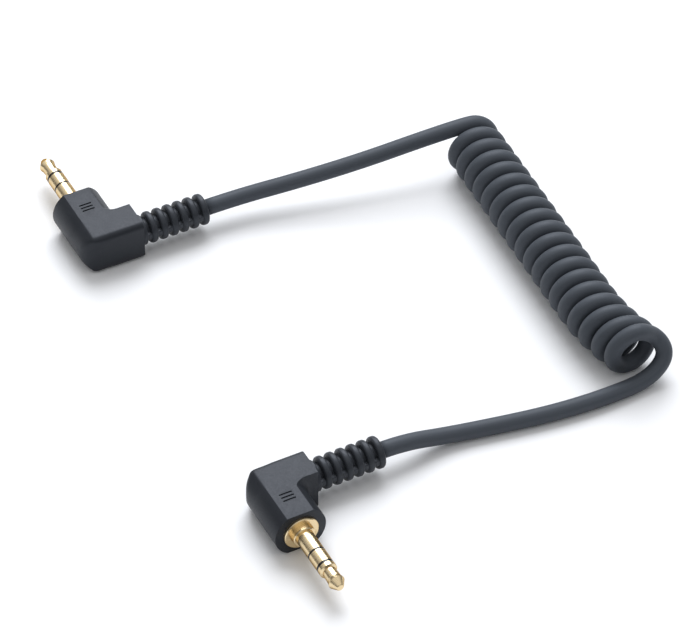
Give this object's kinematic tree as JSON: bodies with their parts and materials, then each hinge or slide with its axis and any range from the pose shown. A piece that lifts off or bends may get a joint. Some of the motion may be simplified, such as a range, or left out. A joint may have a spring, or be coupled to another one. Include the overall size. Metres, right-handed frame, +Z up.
{
  "type": "coiled shutter release lead",
  "caption": "Coiled signal lead with a right-angled moulded jack plug and ribbed strain relief at each end, for linking a remote release to a camera.",
  "frame": {"origin": "on the floor, under the middle of the two plugs' common box", "axes": "+Z up from the floor that the lead lies on; +X from plug A's tip side towards the coil; +Y from plug B towards plug A"},
  "size_m": [0.1191, 0.1253, 0.0119],
  "materials": {
    "shell": "satin moulded soft PVC, charcoal",
    "relief": "satin moulded flexible PVC, charcoal",
    "jacket": "satin extruded polyurethane jacket, charcoal",
    "gold_plate": "polished gold plating on brass",
    "black_band": "glossy moulded black insulator",
    "inner_mould": "matte natural polypropylene",
    "washer": "matte black insulating washer",
    "tinned_brass": "tin-plated stamped brass",
    "red_wire": "glossy red wire insulation",
    "white_wire": "glossy white wire insulation",
    "bare_copper": "bare stranded copper"
  },
  "bodies": {
    "plug_a_end": {"plug_a_body": "shell", "plug_a_inner_mould": "inner_mould", "plug_a_strain_relief": "relief", "plug_a_cable_end": "jacket", "plug_a_sleeve_contact": "gold_plate", "plug_a_rear_insulator": "black_band", "plug_a_ring_contact": "gold_plate", "plug_a_front_insulator": "black_band", "plug_a_tip_contact": "gold_plate", "plug_a_rear_washer": "washer", "plug_a_ring_lug": "tinned_brass", "plug_a_front_washer": "washer", "plug_a_tip_lug": "tinned_brass", "plug_a_ground_clamp": "tinned_brass", "plug_a_tip_wire": "red_wire", "plug_a_ring_wire": "white_wire", "plug_a_ground_wire": "bare_copper", "tail_a": "jacket", "coil": "jacket"},
    "plug_b_end": {"plug_b_body": "shell", "plug_b_inner_mould": "inner_mould", "plug_b_strain_relief": "relief", "plug_b_cable_end": "jacket", "plug_b_sleeve_contact": "gold_plate", "plug_b_rear_insulator": "black_band", "plug_b_ring_contact": "gold_plate", "plug_b_front_insulator": "black_band", "plug_b_tip_contact": "gold_plate", "plug_b_rear_washer": "washer", "plug_b_ring_lug": "tinned_brass", "plug_b_front_washer": "washer", "plug_b_tip_lug": "tinned_brass", "plug_b_ground_clamp": "tinned_brass", "plug_b_tip_wire": "red_wire", "plug_b_ring_wire": "white_wire", "plug_b_ground_wire": "bare_copper", "tail_b": "jacket"}
  },
  "joints": [
    {"name": "coil_stretch", "type": "slide", "parent": "plug_a_end", "child": "plug_b_end", "axis": [0.4099, -0.9121, 0], "range_m": [-0.008, 0.09], "stiffness_N_per_m": 20, "deforming": ["coil"]}
  ]
}
